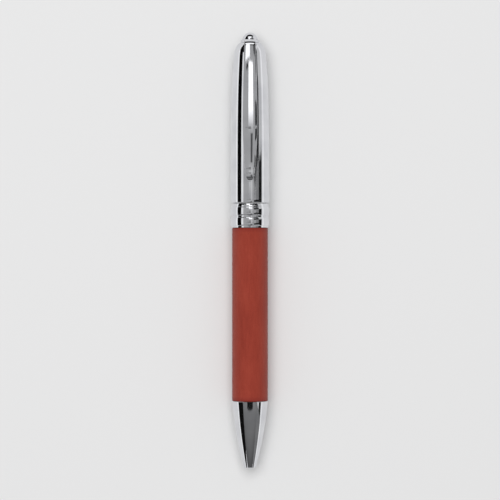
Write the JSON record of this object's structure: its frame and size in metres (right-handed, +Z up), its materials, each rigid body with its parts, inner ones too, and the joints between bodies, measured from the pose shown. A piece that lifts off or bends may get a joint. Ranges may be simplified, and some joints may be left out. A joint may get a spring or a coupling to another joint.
{
  "type": "rollerball pen",
  "caption": "Slim twist-action rollerball pen with a leather-wrapped grip, plated nose, beaded centre band, tapered rear barrel and a sprung pocket clip.",
  "frame": {"origin": "on the surface that the pen lies on, midway along the pen and below its axis", "axes": "+Y along the pen from its nose to its finial, +Z up through the clip, +X to the right as seen from above with the finial away from the viewer"},
  "size_m": [0.012, 0.134, 0.014],
  "materials": {
    "polished_chrome": "mirror-bright plating",
    "brown_leather": "fine matte grain",
    "turned_brass": "bare turned brass",
    "spring_steel": "bright drawn wire and sheet",
    "white_acetal": "smooth moulded",
    "grey_acetal": "smooth moulded",
    "black_rubber": "greased rubber",
    "refill_sleeve": "milky drawn tube",
    "refill_moulding": "glossy moulded",
    "black_ink": "wet",
    "follower_grease": "clear yellow grease",
    "nickel_silver": "fine turned",
    "carbide_ball": "lapped"
  },
  "bodies": {
    "front_barrel": {"nose_cone": "polished_chrome", "front_insert": "turned_brass", "front_tube": "turned_brass", "leather_sleeve": "brown_leather", "centre_band": "polished_chrome", "rear_insert": "turned_brass", "return_spring": "spring_steel"},
    "mechanism": {"mechanism_housing": "white_acetal", "friction_ring": "black_rubber", "thrust_washer": "white_acetal", "snap_ring": "spring_steel"},
    "rear_barrel": {"rear_barrel": "polished_chrome", "bearing_ring": "white_acetal", "cam_sleeve": "white_acetal", "drive_bush": "grey_acetal", "top_plug": "turned_brass", "clip_ring": "polished_chrome", "finial": "polished_chrome"},
    "clip": {"clip_blade": "polished_chrome"},
    "refill": {"plunger": "grey_acetal", "refill_plug": "refill_moulding", "refill_tube": "refill_sleeve", "ink_column": "black_ink", "ink_follower": "follower_grease", "tip_holder": "refill_moulding", "writing_tip": "nickel_silver"},
    "ball": {"ball": "carbide_ball"}
  },
  "joints": [
    {"name": "rear_half_pull", "type": "slide", "parent": "front_barrel", "child": "mechanism", "axis": [0, 1, 0], "range_m": [0, 0.09]},
    {"name": "barrel_twist", "type": "hinge", "parent": "mechanism", "child": "rear_barrel", "pos_m": [0, 0.015, 0.00595], "axis": [0, -1, 0], "range_deg": [0, 180]},
    {"name": "clip_flex", "type": "hinge", "parent": "rear_barrel", "child": "clip", "pos_m": [0, 0.06193, 0.01245], "axis": [-1, 0, 0], "range_deg": [0, 3], "stiffness_Nm_per_rad": 4},
    {"name": "refill_travel", "type": "slide", "parent": "mechanism", "child": "refill", "axis": [0, -1, 0], "range_m": [0, 0.0045], "stiffness_N_per_m": 120, "springref_m": -0.012, "deforming": ["return_spring"]},
    {"name": "ball_roll", "type": "hinge", "parent": "refill", "child": "ball", "pos_m": [0, -0.06515, 0.00595], "axis": [1, 0, 0], "continuous": true}
  ],
  "couplings": [
    {"joint": "barrel_twist", "follows": "refill_travel", "rad_per_m": 698.13}
  ]
}
